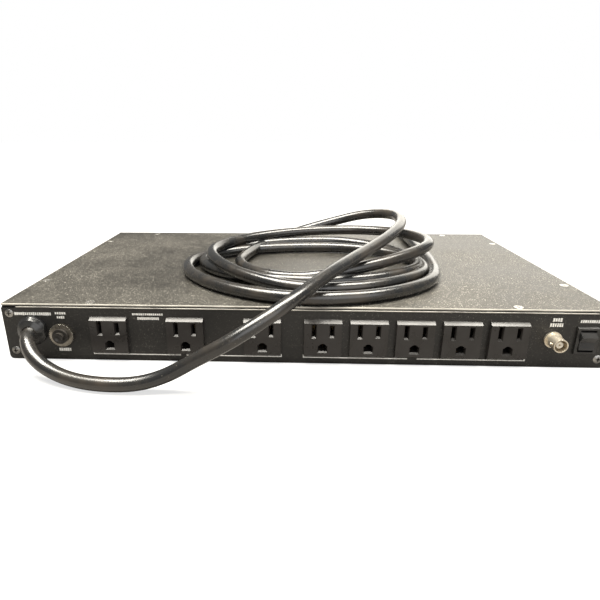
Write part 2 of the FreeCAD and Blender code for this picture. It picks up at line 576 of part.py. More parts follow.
# ---------------------------------------------------------------- lamp socket
def make_lamp_socket():
    """A bayonet lamp socket: turned shell with two lugs, insulator, centre contact and hex nut."""
    x, level = "socket_x", "socket_level"
    flange = rod("socket_flange", "socket_flange_thick", (x, REAR + " - socket_flange_thick", level), Y)
    barrel = rod("socket_barrel", "socket_proud", (x, REAR + " - socket_proud", level), Y)
    shank = rod("socket_shank", "socket_deep", (x, REAR, level), Y)
    lugs = rod("socket_lug", "2 * socket_lug_out",
               (x + " - socket_lug_out", REAR + " - socket_proud + socket_lug_at", level), X)
    mouth = rod("socket_bore", "socket_proud - 2", (x, REAR + " - socket_proud - 1", level), Y)
    bore = rod("insulator_radius", "socket_proud + socket_deep + 2", (x, REAR + " - socket_proud - 1", level), Y)
    node("lamp_socket_shell", cut(fuse(flange, barrel, shank, lugs), mouth, bore))
    tube = rod("insulator_radius - 0.05", "socket_proud + socket_deep - 1",
               (x, REAR + " - socket_proud + 2", level), Y)
    hole = rod("contact_radius + 0.05", "socket_proud + socket_deep + 4", (x, REAR + " - socket_proud - 1", level), Y)
    node("lamp_socket_insulator", cut(tube, hole))
    pin = rod("contact_radius", "socket_proud + socket_deep", (x, REAR + " - socket_proud + 2.6", level), Y)
    node("lamp_socket_contact", pin)
    nut = rod("socket_nut", "socket_nut_thick", (x, REAR + " + pan_sheet", level), Y)
    clear = rod("socket_shank + 0.05", "socket_nut_thick + 2", (x, REAR + " + pan_sheet - 1", level), Y)
    node("lamp_socket_nut", cut(nut, clear))


# ---------------------------------------------------------------- rocker switches
def make_switch(name, kind, at, turned):
    """A snap-in rocker switch, built facing -Y at the origin and then set in its wall."""
    wide, high = kind + "_body_wide", kind + "_body_high"
    proud, deep = kind + "_proud", kind + "_deep"
    rocker_wide, rocker_high = kind + "_rocker_wide", kind + "_rocker_high"
    rim = "(%s_bezel_high / 2)" % kind
    outline = [("0", "-" + rim), ("0", rim), ("-%s" % proud, rim + " - 1"), ("-%s" % proud, "-%s + 1" % rim)]
    bezel = prism("YZ_Plane", outline, kind + "_bezel_wide")
    body = middle_box((wide, deep, high), ("0", "0", "0"))
    cavity = middle_box((rocker_wide + " + 2 * rocker_gap", proud + " + rocker_pivot + rocker_waist + 3",
                         "2 * (%s + rocker_room)" % rocker_high), ("0", "-%s - 1" % proud, "0"))
    pivot = rod("rocker_pin + pin_clear", rocker_wide + " + 2",
                ("-(%s + 2) / 2" % rocker_wide, "rocker_pivot", "0"), X)
    tabs = [middle_box(("0.8", "8", "5"), ("0", deep, level)) for level in ("-5", "0", "5")]
    housing = cut(fuse(bezel, body, *tabs), cavity, pivot)
    tip, end = rocker_high + " - rocker_bevel / 2", rocker_high + " + rocker_bevel / 2 - 0.3"
    rocker_outline = [("-rocker_valley", "0"), ("-rocker_rise", tip), ("-rocker_neck", end),
                      ("-rocker_shoulder", end),
                      ("rocker_root", "rocker_waist"), ("rocker_root", "-rocker_waist"),
                      ("-rocker_shoulder", "-(%s)" % end),
                      ("-rocker_neck", "-(%s)" % end), ("-rocker_rise", "-(%s)" % tip)]
    cap = prism("YZ_Plane", rocker_outline, rocker_wide)
    pins = rod("rocker_pin", rocker_wide + " + 1.6", ("-(%s + 1.6) / 2" % rocker_wide, "0", "0"), X)
    rocker = fuse(cap, pins)
    tilted = group(rocker)
    tilted.Placement = FreeCAD.Placement(FreeCAD.Vector(), FreeCAD.Rotation(X, 1))
    bind(tilted, "Placement.Rotation.Angle", "rocker_tilt")
    bind(tilted, "Placement.Base.y", "rocker_pivot")
    turn = (Z, 180) if turned else None
    node(name + "_switch_housing", put(group(housing), at, turn))
    node(name + "_rocker", put(group(tilted), at, turn))


def make_indicators():
    """Two lamps behind the fascia, each a clear domed lens on a short body."""
    for i, name in enumerate(("power_indicator", "protection_indicator")):
        spot = ("lens_x - %d * lens_pitch" % i, FRONT + " - lens_deep", "master_level")
        stem = rod("lens_radius", "lens_deep + lens_proud", spot, Y)
        flange = rod("lens_radius + 1", "1", (spot[0], FASCIA_BACK + " - pan_sheet - 2", spot[2]), Y)
        node(name, fuse(stem, flange))


# ---------------------------------------------------------------- filter board and transformer
def make_filter_board():
    plate = box(("board_wide", "board_deep", "board_sheet"),
                ("board_x - board_wide / 2", "board_y - board_deep / 2", BOARD_UNDER))
    holes = [rod("screw_shank + screw_clear", "board_sheet + 2", (x, y, BOARD_UNDER + " - 1"))
             for x, y in BOARD_CORNERS]
    node("filter_board", cut(plate, *holes))
    posts, screws = [], []
    for x, y in BOARD_CORNERS:
        post = rod("standoff_radius", "standoff_tall", (x, y, FLOOR))
        bore = rod("screw_shank + screw_clear", "standoff_tall + 2", (x, y, FLOOR + " - 1"))
        posts.append(cut(post, bore))
        head = rod("board_head", "board_head_thick", (x, y, BOARD_TOP))
        shank = rod("screw_shank", "screw_reach", (x, y, BOARD_TOP + " - screw_reach"))
        screws.append(fuse(head, shank))
    node("board_standoffs", group(*posts))
    node("board_screws", group(*screws))
    ring = doc.addObject("Part::Torus", "ring")
    bind(ring, "Radius1", "choke_ring")
    bind(ring, "Radius2", "choke_wire")
    put(ring, ("board_x + choke_at", "board_y", BOARD_TOP + " + choke_wire + choke_rest"))
    node("filter_choke", ring)
    blocks = [box(("capacitor_wide", "capacitor_thick", "capacitor_tall"),
                  ("board_x + capacitor_at", "board_y + capacitor_first + %d * capacitor_pitch" % i,
                   BOARD_TOP)) for i in range(3)]
    node("filter_capacitors", group(*blocks))
    rows = ["board_y + varistor_first + %d * varistor_pitch" % i for i in range(3)]
    discs = [rod("varistor_radius", "varistor_thick",
                 ("board_x + varistor_at", row, BOARD_TOP + " + varistor_radius + varistor_rise"), Y)
             for row in rows]
    feet = [box(("varistor_foot", "varistor_thick", "2 * varistor_rise + 1"),
                ("board_x + varistor_at - varistor_foot / 2", row, BOARD_TOP)) for row in rows]
    node("surge_varistors", group(*[fuse(disc, foot) for disc, foot in zip(discs, feet)]))
    node("shutdown_relay", box(("relay_wide", "relay_deep", "relay_tall"),
                               ("board_x + relay_at", "board_y + relay_first", BOARD_TOP)))


def make_transformer():
    """The lamp supply's small laminated transformer, its winding on the core's middle leg."""
    low = FLOOR
    block = box(("core_wide", "core_deep", "core_tall"),
                ("core_x - core_wide / 2", "core_y - core_deep / 2", low))
    window_wide = "(core_wide / 2 - 1.5 * core_leg)"
    tools = [box((window_wide, "core_deep + 2", "core_tall - 2 * core_leg"),
                 ("core_x %s" % start, "core_y - core_deep / 2 - 1", low + " + core_leg"))
             for start in ("- core_leg / 2 - " + window_wide, "+ core_leg / 2")]
    node("transformer_core", cut(block, *tools))
    wide = "(core_wide - 2 * core_leg - 2 * coil_gap)"
    tall = "(core_tall - 2 * core_leg - 2 * coil_gap)"
    coil = box((wide, "core_deep + 2 * winding_proud", tall),
               ("core_x - %s / 2" % wide, "core_y - core_deep / 2 - winding_proud", low + " + core_leg + coil_gap"))
    middle = box(("core_leg + 2 * coil_gap", "core_deep + 2 * coil_gap", tall + " + 2"),
                 ("core_x - core_leg / 2 - coil_gap", "core_y - core_deep / 2 - coil_gap",
                  low + " + core_leg + coil_gap - 1"))
    node("transformer_winding", cut(coil, middle))


# ---------------------------------------------------------------- tubes: cord and wires
def rounded_path(points):
    """Straight runs joined by tangent arcs, each as large as the two runs beside it allow."""
    spots = [FreeCAD.Vector(*point) for point in points]
    edges, radii, start = [], [], spots[0]
    for before, corner, after in zip(spots, spots[1:], spots[2:]):
        into, out = (corner - before), (after - corner)
        turn = into.getAngle(out)
        reach = 0.45 * min(into.Length, out.Length)
        radii.append(reach / math.tan(turn / 2))
        enter = corner - into.normalize() * reach
        leave = corner + out.normalize() * reach
        bulge = (enter + leave) * 0.5 - corner
        centre = corner + bulge.normalize() * (radii[-1] / math.cos(turn / 2))
        crown = centre + (corner - centre).normalize() * radii[-1]
        edges.append(Part.LineSegment(start, enter).toShape())
        edges.append(Part.Arc(enter, crown, leave).toShape())
        start = leave
    edges.append(Part.LineSegment(start, spots[-1]).toShape())
    return Part.Wire(edges), radii


def tube(name, points, radius):
    """A round tube along a route of points; its radii and volume are printed for checking."""
    path, radii = rounded_path(points)
    start = FreeCAD.Vector(*points[0])
    heading = FreeCAD.Vector(*points[1]) - start
    section = Part.Wire(Part.Circle(start, heading, radius).toShape())
    solid = path.makePipeShell([section], True, True)
    expected = math.pi * radius ** 2 * path.Length
    print("%s: length %.1f, tightest radius %.1f, volume over section times length %.4f"
          % (name, path.Length, min(radii), solid.Volume / expected))
    item = doc.addObject("Part::Feature", "tube")
    item.Shape = solid
    return node(name, item)


# The cord's own routes, chosen by hand: out of the strain relief, down to the surface in front of
# the rear wall, up and across the cover, round above the coil and down into it.
CORD_LEAD = [(-194.5, -113, 23.6), (-194.5, -140.5, 23.6), (-188.5, -150, 20.8), (-176.5, -157, 10.8),
             (-157, -166, 5.6), (-130, -172.5, 5), (-106, -173, 5.8), (-86, -171, 11.5), (-66, -172, 24.2),
             (-45, -173, 36.5), (-24, -166, 48.3), (-4, -150, 58), (17, -120, 65.5), (37, -88, 69),
             (57, -58, 72), (76, -30, 75.5), (91, -4, 79), (99, 22, 80.5), (98, 46, 81), (87, 67, 79.5),
             (67, 79, 76), (41, 83, 69), (13, 79, 61.5), (-13, 67, 55.5), (-34, 46, 51.5)]
# Out of the coil at its right, over the front edge and down to the surface behind the case.
CORD_TAIL = [(104, 62, 51), (106, 86, 55), (106, 110, 58.8), (104, 134, 57.5), (98, 153, 46),
             (88, 167, 31), (73, 177, 19), (52, 184, 12.8), (30, 187, 12.9), (6, 188, 13)]


def make_cord():
    radius = float(sheet.get("cord_radius"))
    tube("power_cord", CORD_LEAD, radius)
    tube("power_cord_tail", CORD_TAIL, radius)
    ring = rod("coil_outer", "coil_low", ("coil_x", "coil_y", "body_height + rest_gap"))
    hole = rod("coil_inner", "coil_high + 10", ("coil_x", "coil_y", "body_height - 2"))
    stack = rod("coil_outer", "coil_high", ("coil_x", "coil_y", "body_height + rest_gap"))
    bind(stack, "Angle", "coil_raised_span")
    put(stack, ("coil_x", "coil_y", "body_height + rest_gap"), (Z, float(sheet.get("coil_raised_from"))))
    node("power_cord_coil", cut(fuse(ring, stack), hole))


def make_plug():
    """The moulded plug, lying along -X behind the case: tapered neck, round body, two blades, pin."""
    end = CORD_TAIL[-1]
    x, y, level = "%s" % end[0], "%s" % end[1], "%s" % end[2]
    neck = doc.addObject("Part::Cone", "neck")
    bind(neck, "Radius1", "cord_radius + 1.2")
    bind(neck, "Radius2", "plug_neck + 2")
    bind(neck, "Height", "plug_neck_long")
    put(neck, (x, y, level), (Y, -90))
    barrel = rod("plug_radius", "plug_long", ("%s - plug_neck_long - plug_long" % x, y, level), X)
    node("plug_body", fuse(neck, barrel))
    face = "%s - plug_neck_long - plug_long" % x
    blades = [box(("blade_long", "blade_sheet", "blade_wide"),
                  (face + " - blade_long", "%s %s slot_spread - blade_sheet / 2" % (y, sign),
                   level + " + 2 - blade_wide / 2")) for sign in ("-", "+")]
    node("plug_blades", group(*blades))
    node("plug_earth_pin", rod("earth_pin_radius", "earth_pin_long",
                               (face + " - earth_pin_long", y, level + " - 7"), X))


def make_wiring():
    """The cord's three cores inside, the earth stud they need, and the lamp circuit's pair."""
    stud_x, stud_y = "stud_side - " + SIDE, REAR + " + stud_inset"
    node("earth_stud", rod("stud_radius", "stud_tall", (stud_x, stud_y, "2 * pan_sheet")))
    nut = rod("stud_nut", "3", (stud_x, stud_y, "2 * pan_sheet + 2.2"))
    bore = rod("stud_radius + bore_clear", "5", (stud_x, stud_y, "2 * pan_sheet + 1.2"))
    node("earth_nut", cut(nut, bore))

    size = {alias: float(sheet.get(alias)) for alias in SIZES}
    thick, thin, spread = size["wire_radius"], size["lamp_wire_radius"], size["core_spread"]
    rear = -size["body_depth"] / 2
    start = rear + size["core_start"]
    rx, rz = size["relief_x"], size["relief_level"]
    bx, bz = size["breaker_x"], size["breaker_level"]
    tab = rear + size["pan_sheet"] + size["breaker_deep"]
    tube("live_core", [(rx + 2, start, rz + spread), (rx + 5.5, rear + 29, rz + 6.4),
                       (bx - 7, tab + 6, bz + 10.8), (bx + 0.5, tab + 10.3, bz + 8.6)], thick)
    board_left = size["board_x"] - size["board_wide"] / 2
    turn, end = (rx + 20, rear + 63, 17), (board_left - 2.5, size["board_y"] - 12, 12.4)
    tube("neutral_core", [(rx + 2, start, rz - spread), (rx + 6, rear + 37, 19), turn,
                          (end[0] - 8.5, end[1] - 16, 16.4), end], thick)
    foot_x, foot_y = size["stud_side"] - size["body_width"] / 2, rear + size["stud_inset"]
    tube("earth_core", [(rx - spread, start, rz), (foot_x - 1, rear + 29, 19), (foot_x - 3, rear + 41, 13),
                        (foot_x - 2, foot_y - 7, 8.5)], thick)
    sx, sz, lx = size["socket_x"], size["socket_level"], size["lamp_x"]
    cx, cy = size["core_x"], size["core_y"]
    face = cy - size["core_deep"] / 2 - size["winding_proud"]
    tube("lamp_feed", [(sx, rear + 28.4, sz), (sx + 1.2, rear + 47, 20), (sx, rear + 77, 19),
                       (cx + 4, face - 36, 18), (cx, face - 2, 19)], thin)
    tube("lamp_return", [(lx, rear + 23.4, size["lamp_level"] - 5), (lx - 1.5, rear + 39, 14),
                         (lx - 3.5, rear + 67, 12), (cx + 24, face - 46, 12), (cx + 13, face - 20, 14),
                         (cx + 4, face - 1.5, 17)], thin)


# ---------------------------------------------------------------- build
make_base_pan()
make_end_walls()
make_top_cover()
make_front_panel()
node("cover_screws", group(*[flush_screw(spot, Z) for spot in COVER_SCREWS]))
node("rear_screws", group(*[flush_screw((x, REAR, level), Y.negative()) for x, level in CORNERS]))
node("front_screws", group(*[flush_screw((x, FRONT, level), Y) for x, level in CORNERS]))
for number, (x, bank) in enumerate(OUTLETS, start=1):
    make_outlet("outlet_%d" % number, x)
make_rails()
make_strain_relief()
make_breaker()
make_lamp_socket()
make_switch("lamp", "lamp", ("lamp_x", REAR, "lamp_level"), False)
make_switch("master", "master", ("master_x", FRONT, "master_level"), True)
make_indicators()
make_filter_board()
make_transformer()
make_cord()
make_plug()
make_wiring()
doc.recompute()

for item in doc.Objects:
    if "Invalid" in item.State or "Error" in item.State:
        raise RuntimeError("%s (%s) did not build: %s" % (item.Name, item.Label, item.State))
for item in NODES:
    shape = item.Shape
    if shape.isNull() or not shape.isValid() or not shape.Solids:
        raise RuntimeError("%s has no valid solid" % item.Label)
for item in NODES:
    item.Shape.exportStep("parts/%s.step" % item.Label)
print("%d nodes" % len(NODES))
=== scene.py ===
import bpy
import math
import bmesh
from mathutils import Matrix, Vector


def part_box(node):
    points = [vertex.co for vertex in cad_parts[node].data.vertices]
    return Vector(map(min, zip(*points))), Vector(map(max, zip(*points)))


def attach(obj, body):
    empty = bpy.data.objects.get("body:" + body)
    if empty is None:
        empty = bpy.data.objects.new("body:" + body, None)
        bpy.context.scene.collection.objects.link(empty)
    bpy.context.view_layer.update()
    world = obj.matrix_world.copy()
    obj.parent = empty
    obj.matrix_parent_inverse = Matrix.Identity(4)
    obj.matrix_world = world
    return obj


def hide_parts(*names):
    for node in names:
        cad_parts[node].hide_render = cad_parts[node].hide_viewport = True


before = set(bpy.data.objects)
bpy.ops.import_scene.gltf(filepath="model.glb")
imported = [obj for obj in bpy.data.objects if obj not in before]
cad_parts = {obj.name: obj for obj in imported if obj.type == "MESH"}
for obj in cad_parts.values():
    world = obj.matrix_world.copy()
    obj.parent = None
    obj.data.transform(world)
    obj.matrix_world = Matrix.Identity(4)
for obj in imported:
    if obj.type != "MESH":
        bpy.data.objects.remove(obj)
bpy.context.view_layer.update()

CAMERA_AT = (-0.0053, -0.4429, 0.1608)
CAMERA_TURN = (70.47, 0.179, 2.456)
camera = bpy.data.objects.new("camera", bpy.data.cameras.new("camera"))
camera.data.sensor_width = 36
camera.data.lens = 28.8
camera.data.shift_x = 0.045
camera.data.clip_start = 0.01
camera.location = CAMERA_AT
camera.rotation_euler = [math.radians(turn) for turn in CAMERA_TURN]
bpy.context.scene.collection.objects.link(camera)
bpy.context.scene.camera = camera


def soft_light(name, at, toward, size, power, colour=(1, 1, 1)):
    """A rectangular lamp of that size in metres, facing a point."""
    lamp = bpy.data.lights.new(name, "AREA")
    lamp.shape = "RECTANGLE"
    lamp.size, lamp.size_y = size
    lamp.energy = power
    lamp.color = colour
    holder = bpy.data.objects.new(name, lamp)
    holder.location = at
    holder.rotation_euler = (Vector(toward) - Vector(at)).to_track_quat("-Z", "Y").to_euler()
    bpy.context.scene.collection.objects.link(holder)


WARM = (1, 0.96, 0.87)
# Each line gives a lamp's place, the point it faces, its size and its watts.
soft_light("ceiling_strip", (0, 0.06, 1.9), (0, 0.05, 0), (2.6, 0.6), 118, WARM)
soft_light("front_strip", (-0.35, -0.57, 1.9), (-0.35, -0.58, 0), (1.6, 0.22), 40, WARM)
soft_light("bright_wall", (0.95, 2.2, 0.9), (0.1, 0, 0.05), (2.3, 1.5), 25, WARM)
soft_light("front_fill", (0.8, -1.8, 0.9), (0.05, 0, 0.02), (2.4, 1.6), 18)

DIM_ROOM = (0.2, 0.197, 0.19, 1)
world = bpy.data.worlds.new("room")
world.use_nodes = True
bpy.context.scene.world = world
sky = world.node_tree
dim = sky.nodes["Background"]
dim.inputs["Color"].default_value = DIM_ROOM
seen = sky.nodes.new("ShaderNodeBackground")
seen.inputs["Color"].default_value = (1, 1, 1, 1)
chooser = sky.nodes.new("ShaderNodeMixShader")
ray = sky.nodes.new("ShaderNodeLightPath")
sky.links.new(ray.outputs["Is Camera Ray"], chooser.inputs["Fac"])
sky.links.new(dim.outputs["Background"], chooser.inputs[1])
sky.links.new(seen.outputs["Background"], chooser.inputs[2])
sky.links.new(chooser.outputs["Shader"], sky.nodes["World Output"].inputs["Surface"])
bpy.context.scene.view_settings.view_transform = "Standard"


class Value:
    """One output in a node tree; Python's operators on it add the matching Math node."""

    def __init__(self, nodes, socket):
        self.nodes, self.socket = nodes, socket

    def math(self, operation, *terms):
        return self.nodes.node("ShaderNodeMath", {"operation": operation}, terms)

    def __add__(self, other):
        return self.math("ADD", self, other)

    def __rsub__(self, other):
        return self.math("SUBTRACT", other, self)

    def __mul__(self, other):
        return self.math("MULTIPLY", self, other)

    __radd__, __rmul__ = __add__, __mul__


class Nodes:
    """A node tree and the one way in which its nodes are made."""

    def node(self, kind, settings=None, inputs=(), out=0):
        made = self.tree.nodes.new(kind)
        for key, value in (settings or {}).items():
            if key == "stops":
                for _ in value[2:]:
                    made.color_ramp.elements.new(1)
                for element, (where, colour) in zip(made.color_ramp.elements, value):
                    element.position, element.color = where, colour
            else:
                setattr(made, key, value)
        pairs = inputs.items() if isinstance(inputs, dict) else enumerate(inputs)
        for key, value in pairs:
            if isinstance(value, Value):
                self.tree.links.new(value.socket, made.inputs[key])
            elif value is not None:
                made.inputs[key].default_value = value
        return None if out is None else Value(self, made.outputs[out])


class Finish(Nodes):
    """A named material, patterned in the piece's own coordinates."""

    def __init__(self, name):
        self.material = bpy.data.materials.new(name)
        self.material.use_nodes = True
        self.tree = self.material.node_tree
        self.tree.nodes.clear()
        self.place = self.node("ShaderNodeTexCoord", out="Object")

    def stretched(self, stretch, turn=0.0):
        """The piece's coordinates, stretched by three numbers and turned about the upright."""
        return self.node("ShaderNodeMapping", None, {"Vector": self.place, "Scale": stretch,
                                                     "Rotation": (0, 0, turn)})

    def noise(self, scale, detail=3, rough=0.55, stretch=(1, 1, 1), turn=0.0):
        return self.node("ShaderNodeTexNoise", None,
                         {"Vector": self.stretched(stretch, turn), "Scale": scale, "Detail": detail,
                          "Roughness": rough}, "Fac")

    def ramp(self, value, low, high):
        stops = [(low, (0, 0, 0, 1)), (high, (1, 1, 1, 1))]
        return self.node("ShaderNodeValToRGB", {"stops": stops}, {"Fac": value}, "Color")

    def specks(self, scale, share):
        """Small round grains, scattered: 1 on a grain, 0 between."""
        near = self.node("ShaderNodeTexVoronoi", None, {"Vector": self.place, "Scale": scale},
                         "Distance")
        return 1 - self.ramp(near, share * 0.6, share)

    def math_step(self, value, level):
        """1 above that level, 0 below."""
        return value.math("GREATER_THAN", value, level)

    def scratches(self, scale, stretch, turn, width):
        """Fine straight lines that run one way and break off."""
        edge = self.node("ShaderNodeTexVoronoi", {"feature": "DISTANCE_TO_EDGE"},
                         {"Vector": self.stretched(stretch, turn), "Scale": scale}, "Distance")
        return (1 - self.ramp(edge, 0, width)) * self.ramp(self.noise(scale * 3, 2), 0.52, 0.62)

    def blend(self, factor, first, second):
        """The first colour at 0, the second at 1."""
        return self.node("ShaderNodeMix", {"data_type": "RGBA"}, {0: factor, 6: first, 7: second}, 2)

    def bump(self, height, distance, strength=1.0, edge=0.0):
        """Relief of that height in metres, over edges rounded to that radius."""
        rounded = self.node("ShaderNodeBevel", {"samples": 4}, {"Radius": edge}) if edge else None
        return self.node("ShaderNodeBump", None, {"Height": height, "Distance": distance,
                                                  "Strength": strength, "Normal": rounded}, "Normal")

    def surface(self, **inputs):
        """The shader itself, its sockets given by name, and the material's output."""
        named = {key.replace("_", " ").title(): value for key, value in inputs.items()}
        shader = self.node("ShaderNodeBsdfPrincipled", None, named, "BSDF")
        self.node("ShaderNodeOutputMaterial", None, {"Surface": shader}, out=None)
        return self


def dress(finish, *names):
    """Gives a finish to CAD pieces."""
    for name in names:
        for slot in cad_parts[name].material_slots:
            slot.material = finish.material


def add_piece(name, mesh, finish):
    """A new piece on the case, in that finish."""
    piece = bpy.data.objects.new(name, mesh)
    mesh.materials.clear()
    mesh.materials.append(finish.material)
    bpy.context.scene.collection.objects.link(piece)
    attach(piece, "root")
    return piece


# The table looks white, and gives back less light than it looks, as if the room beyond were dim.
# Away from the strip it glows a little more, so no line shows where it meets the wall.
TABLE_LOOKS, TABLE_GIVES = (0.86, 0.86, 0.855, 1), (0.2, 0.19, 0.18, 1)
GLOW_NEAR, GLOW_MORE, GLOW_SHARE = 1.02, 0.5, 0.65
TABLE_HALF_SIDE = 6
table_paint = Finish("table_white")
lit = table_paint.node("ShaderNodeBsdfDiffuse", None, {"Color": TABLE_LOOKS})
distance = table_paint.node("ShaderNodeVectorMath", {"operation": "LENGTH"}, [table_paint.place],
                            "Value")
far = table_paint.ramp(distance * 0.3, 0.16, 0.5)
glow = table_paint.node("ShaderNodeEmission", None,
                        {"Color": (1, 1, 1, 1), "Strength": far * GLOW_MORE + GLOW_NEAR})
looks = table_paint.node("ShaderNodeMixShader", None, [GLOW_SHARE, lit, glow])
gives = table_paint.node("ShaderNodeBsdfDiffuse", None, {"Color": TABLE_GIVES})
seen_directly = table_paint.node("ShaderNodeLightPath", out="Is Camera Ray")
table_shader = table_paint.node("ShaderNodeMixShader", None, [seen_directly, gives, looks])
table_paint.node("ShaderNodeOutputMaterial", None, {"Surface": table_shader}, out=None)
table = bmesh.new()
bmesh.ops.create_grid(table, x_segments=1, y_segments=1, size=TABLE_HALF_SIDE)
table_mesh = bpy.data.meshes.new("table")
table.to_mesh(table_mesh)
table_top = bpy.data.objects.new("table", table_mesh)
table_mesh.materials.append(table_paint.material)
bpy.context.scene.collection.objects.link(table_top)

# ---------------------------------------------------------------- mains cord and plug
# Three cores in a round black jacket, moulded to its plug. It leaves the strain relief, droops to
# the table, climbs across the outlets to the cover and lies there in three and a half loose turns.
# Its last stretch goes over the front edge of the case and ends in the plug on the table.
CORD_RADIUS = 0.0049
# From the strain relief to the start of the coil, in millimetres.
CORD_LEAD = [
    (-194.5, -113, 23.6), (-194.5, -134, 24.2), (-190.5, -144.5, 22.8), (-184, -153.5, 16.5),
    (-172, -159.5, 9.3), (-152, -167.5, 5.5), (-130, -172.5, 5), (-106, -173, 5.8),
    (-86, -171, 11.5), (-66, -172, 24.2), (-45, -173, 36.5), (-24, -166, 48.3), (-4, -150, 57.8),
    (17, -120, 64.3), (38, -88, 67.5), (58, -58, 70), (77, -30, 73.5), (91, -4, 77), (98, 22, 79),
    (97, 46, 79.5), (86, 66, 78), (66, 78, 74.5), (40, 82, 67), (12, 78, 60), (-14, 66, 54),
    (-35, 44, 50.5)]
# Where each turn is furthest left, front, right and back, in that order, and how pointed the
# quarter turn from there to the next is.
TURN_ENDS = [
    (-55, -14, 48.9, 1), (5, -79, 50, 1.25), (118, -12, 65, 1), (49, 68, 60, 1.1),
    (-81, -17, 57.5, 1.15), (13, -108, 50.5, 1.15), (108, -36, 48.9, 1), (27, 50, 52, 1),
    (-88, -17, 48.9, 1), (15, -84, 48.9, 1.15), (107, -26, 48.9, 1), (21, 35, 48.9, 1),
    (-100, -32, 48.9, 1.1), (11, -125, 48.9, 1.05), (119, -36, 48.9, 1)]
# From the coil over the front edge of the case to the plug.
CORD_TAIL = [
    (119, -10, 48.9), (119, 22, 49), (119, 50, 49.2), (119, 80, 49.2), (119, 104, 49.4),
    (119, 122, 50.3), (118.5, 134, 50.4), (116, 148, 43.5), (108, 164, 30), (92, 177, 19),
    (66, 184, 12.8), (38, 187, 12.9), (6, 188, 13)]
POINTS_PER_QUARTER = 4
# The second quarter turn lifts off the cover early; below 1 brings its rise forward.
EARLY_LIFT, EARLY_RISE = 1, 0.6


def coil_points():
    """The coil's control points: quarter ellipses between the ends of its turns."""
    points = []
    for quarter in range(len(TURN_ENDS) - 1):
        (ax, ay, az, sharp), (bx, by, bz, _) = TURN_ENDS[quarter], TURN_ENDS[quarter + 1]
        for step in range(POINTS_PER_QUARTER):
            part = step / POINTS_PER_QUARTER
            angle = math.pi / 2 * part
            near, far = math.cos(angle) ** sharp, math.sin(angle) ** sharp
            climb = part * part * (3 - 2 * part)
            if quarter == EARLY_LIFT:
                climb **= EARLY_RISE
            if quarter % 2 == 0:
                x, y = bx + (ax - bx) * near, ay + (by - ay) * far
            else:
                x, y = ax + (bx - ax) * far, by + (ay - by) * near
            points.append((x, y, az + (bz - az) * climb))
    return points


def smooth_line(name, points, radius):
    """A round tube along one smooth spline whose control points are the route's, in millimetres."""
    curve = bpy.data.curves.new(name, "CURVE")
    curve.dimensions = "3D"
    spline = curve.splines.new("NURBS")
    spline.points.add(len(points) - 1)
    for spot, (x, y, z) in zip(spline.points, points):
        spot.co = (x / 1000, y / 1000, z / 1000, 1)
    spline.order_u = 3
    spline.use_endpoint_u = True
    curve.resolution_u = 6
    curve.bevel_depth = radius
    curve.bevel_resolution = 7
    curve.use_fill_caps = True
    line = bpy.data.objects.new(name, curve)
    bpy.context.scene.collection.objects.link(line)
    return line


def jacket_finish(name, dark, worn, rough):
    """Soft black plastic with a faint grain, rubbed brown where it has been handled."""
    jacket = Finish(name)
    smear = jacket.ramp(jacket.noise(38, 4, 0.6), 0.42, 0.68)
    lint = jacket.specks(420, 0.16) * jacket.ramp(jacket.noise(60, 2), 0.5, 0.6)
    colour = jacket.blend(lint, jacket.blend(smear, dark, worn), (0.12, 0.108, 0.09, 1))
    grain = jacket.noise(1400, 2, 0.5) + jacket.noise(90, 2, 0.5)
    return jacket.surface(base_color=colour, roughness=smear * 0.14 + rough,
                          normal=jacket.bump(grain, 0.00002, 0.5), coat_weight=0.9,
                          coat_roughness=0.24)


jacket = jacket_finish("cord_jacket", (0.010, 0.0105, 0.011, 1), (0.034, 0.027, 0.020, 1), 0.24)
cord = smooth_line("mains_cord", CORD_LEAD + coil_points() + CORD_TAIL, CORD_RADIUS)
cord.data.materials.append(jacket.material)
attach(cord, "root")
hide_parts("power_cord", "power_cord_coil", "power_cord_tail")

# The plug's body: distance back from its face, half width, half height, and how square it is.
PLUG_RINGS = [
    (0, 0.0102, 0.0112, 3.2), (0.0008, 0.0115, 0.0125, 3.2), (0.006, 0.0124, 0.0129, 3.0),
    (0.016, 0.0126, 0.0129, 2.8), (0.026, 0.0112, 0.0120, 2.6), (0.034, 0.0098, 0.0112, 2.4),
    (0.0385, 0.0088, 0.0100, 2.2), (0.041, 0.0080, 0.0084, 2.0), (0.0505, 0.0068, 0.0070, 2.0),
    (0.058, 0.0058, 0.0058, 2.0)]
RING_STEPS = 48


def plug_mesh():
    """The closed shell through those rings, and the middle of its face."""
    low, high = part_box("plug_body")
    middle_y, middle_z = (low[1] + high[1]) / 2, (low[2] + high[2]) / 2
    shape = bmesh.new()
    rings = []
    for back, wide, tall, square in PLUG_RINGS:
        ring = []
        for step in range(RING_STEPS):
            angle = 2 * math.pi * step / RING_STEPS
            across, up = math.cos(angle), math.sin(angle)
            across = math.copysign(abs(across) ** (2 / square), across)
            up = math.copysign(abs(up) ** (2 / square), up)
            ring.append(shape.verts.new((low[0] + back, middle_y + wide * across,
                                         middle_z + tall * up)))
        rings.append(ring)
    for one, two in zip(rings, rings[1:]):
        for step in range(RING_STEPS):
            after = (step + 1) % RING_STEPS
            shape.faces.new((one[step], one[after], two[after], two[step]))
    shape.faces.new(rings[0][::-1])
    shape.faces.new(rings[-1])
    bmesh.ops.recalc_face_normals(shape, faces=shape.faces)
    mesh = bpy.data.meshes.new("plug_moulding")
    shape.to_mesh(mesh)
    return mesh, (low[0], middle_y, middle_z)


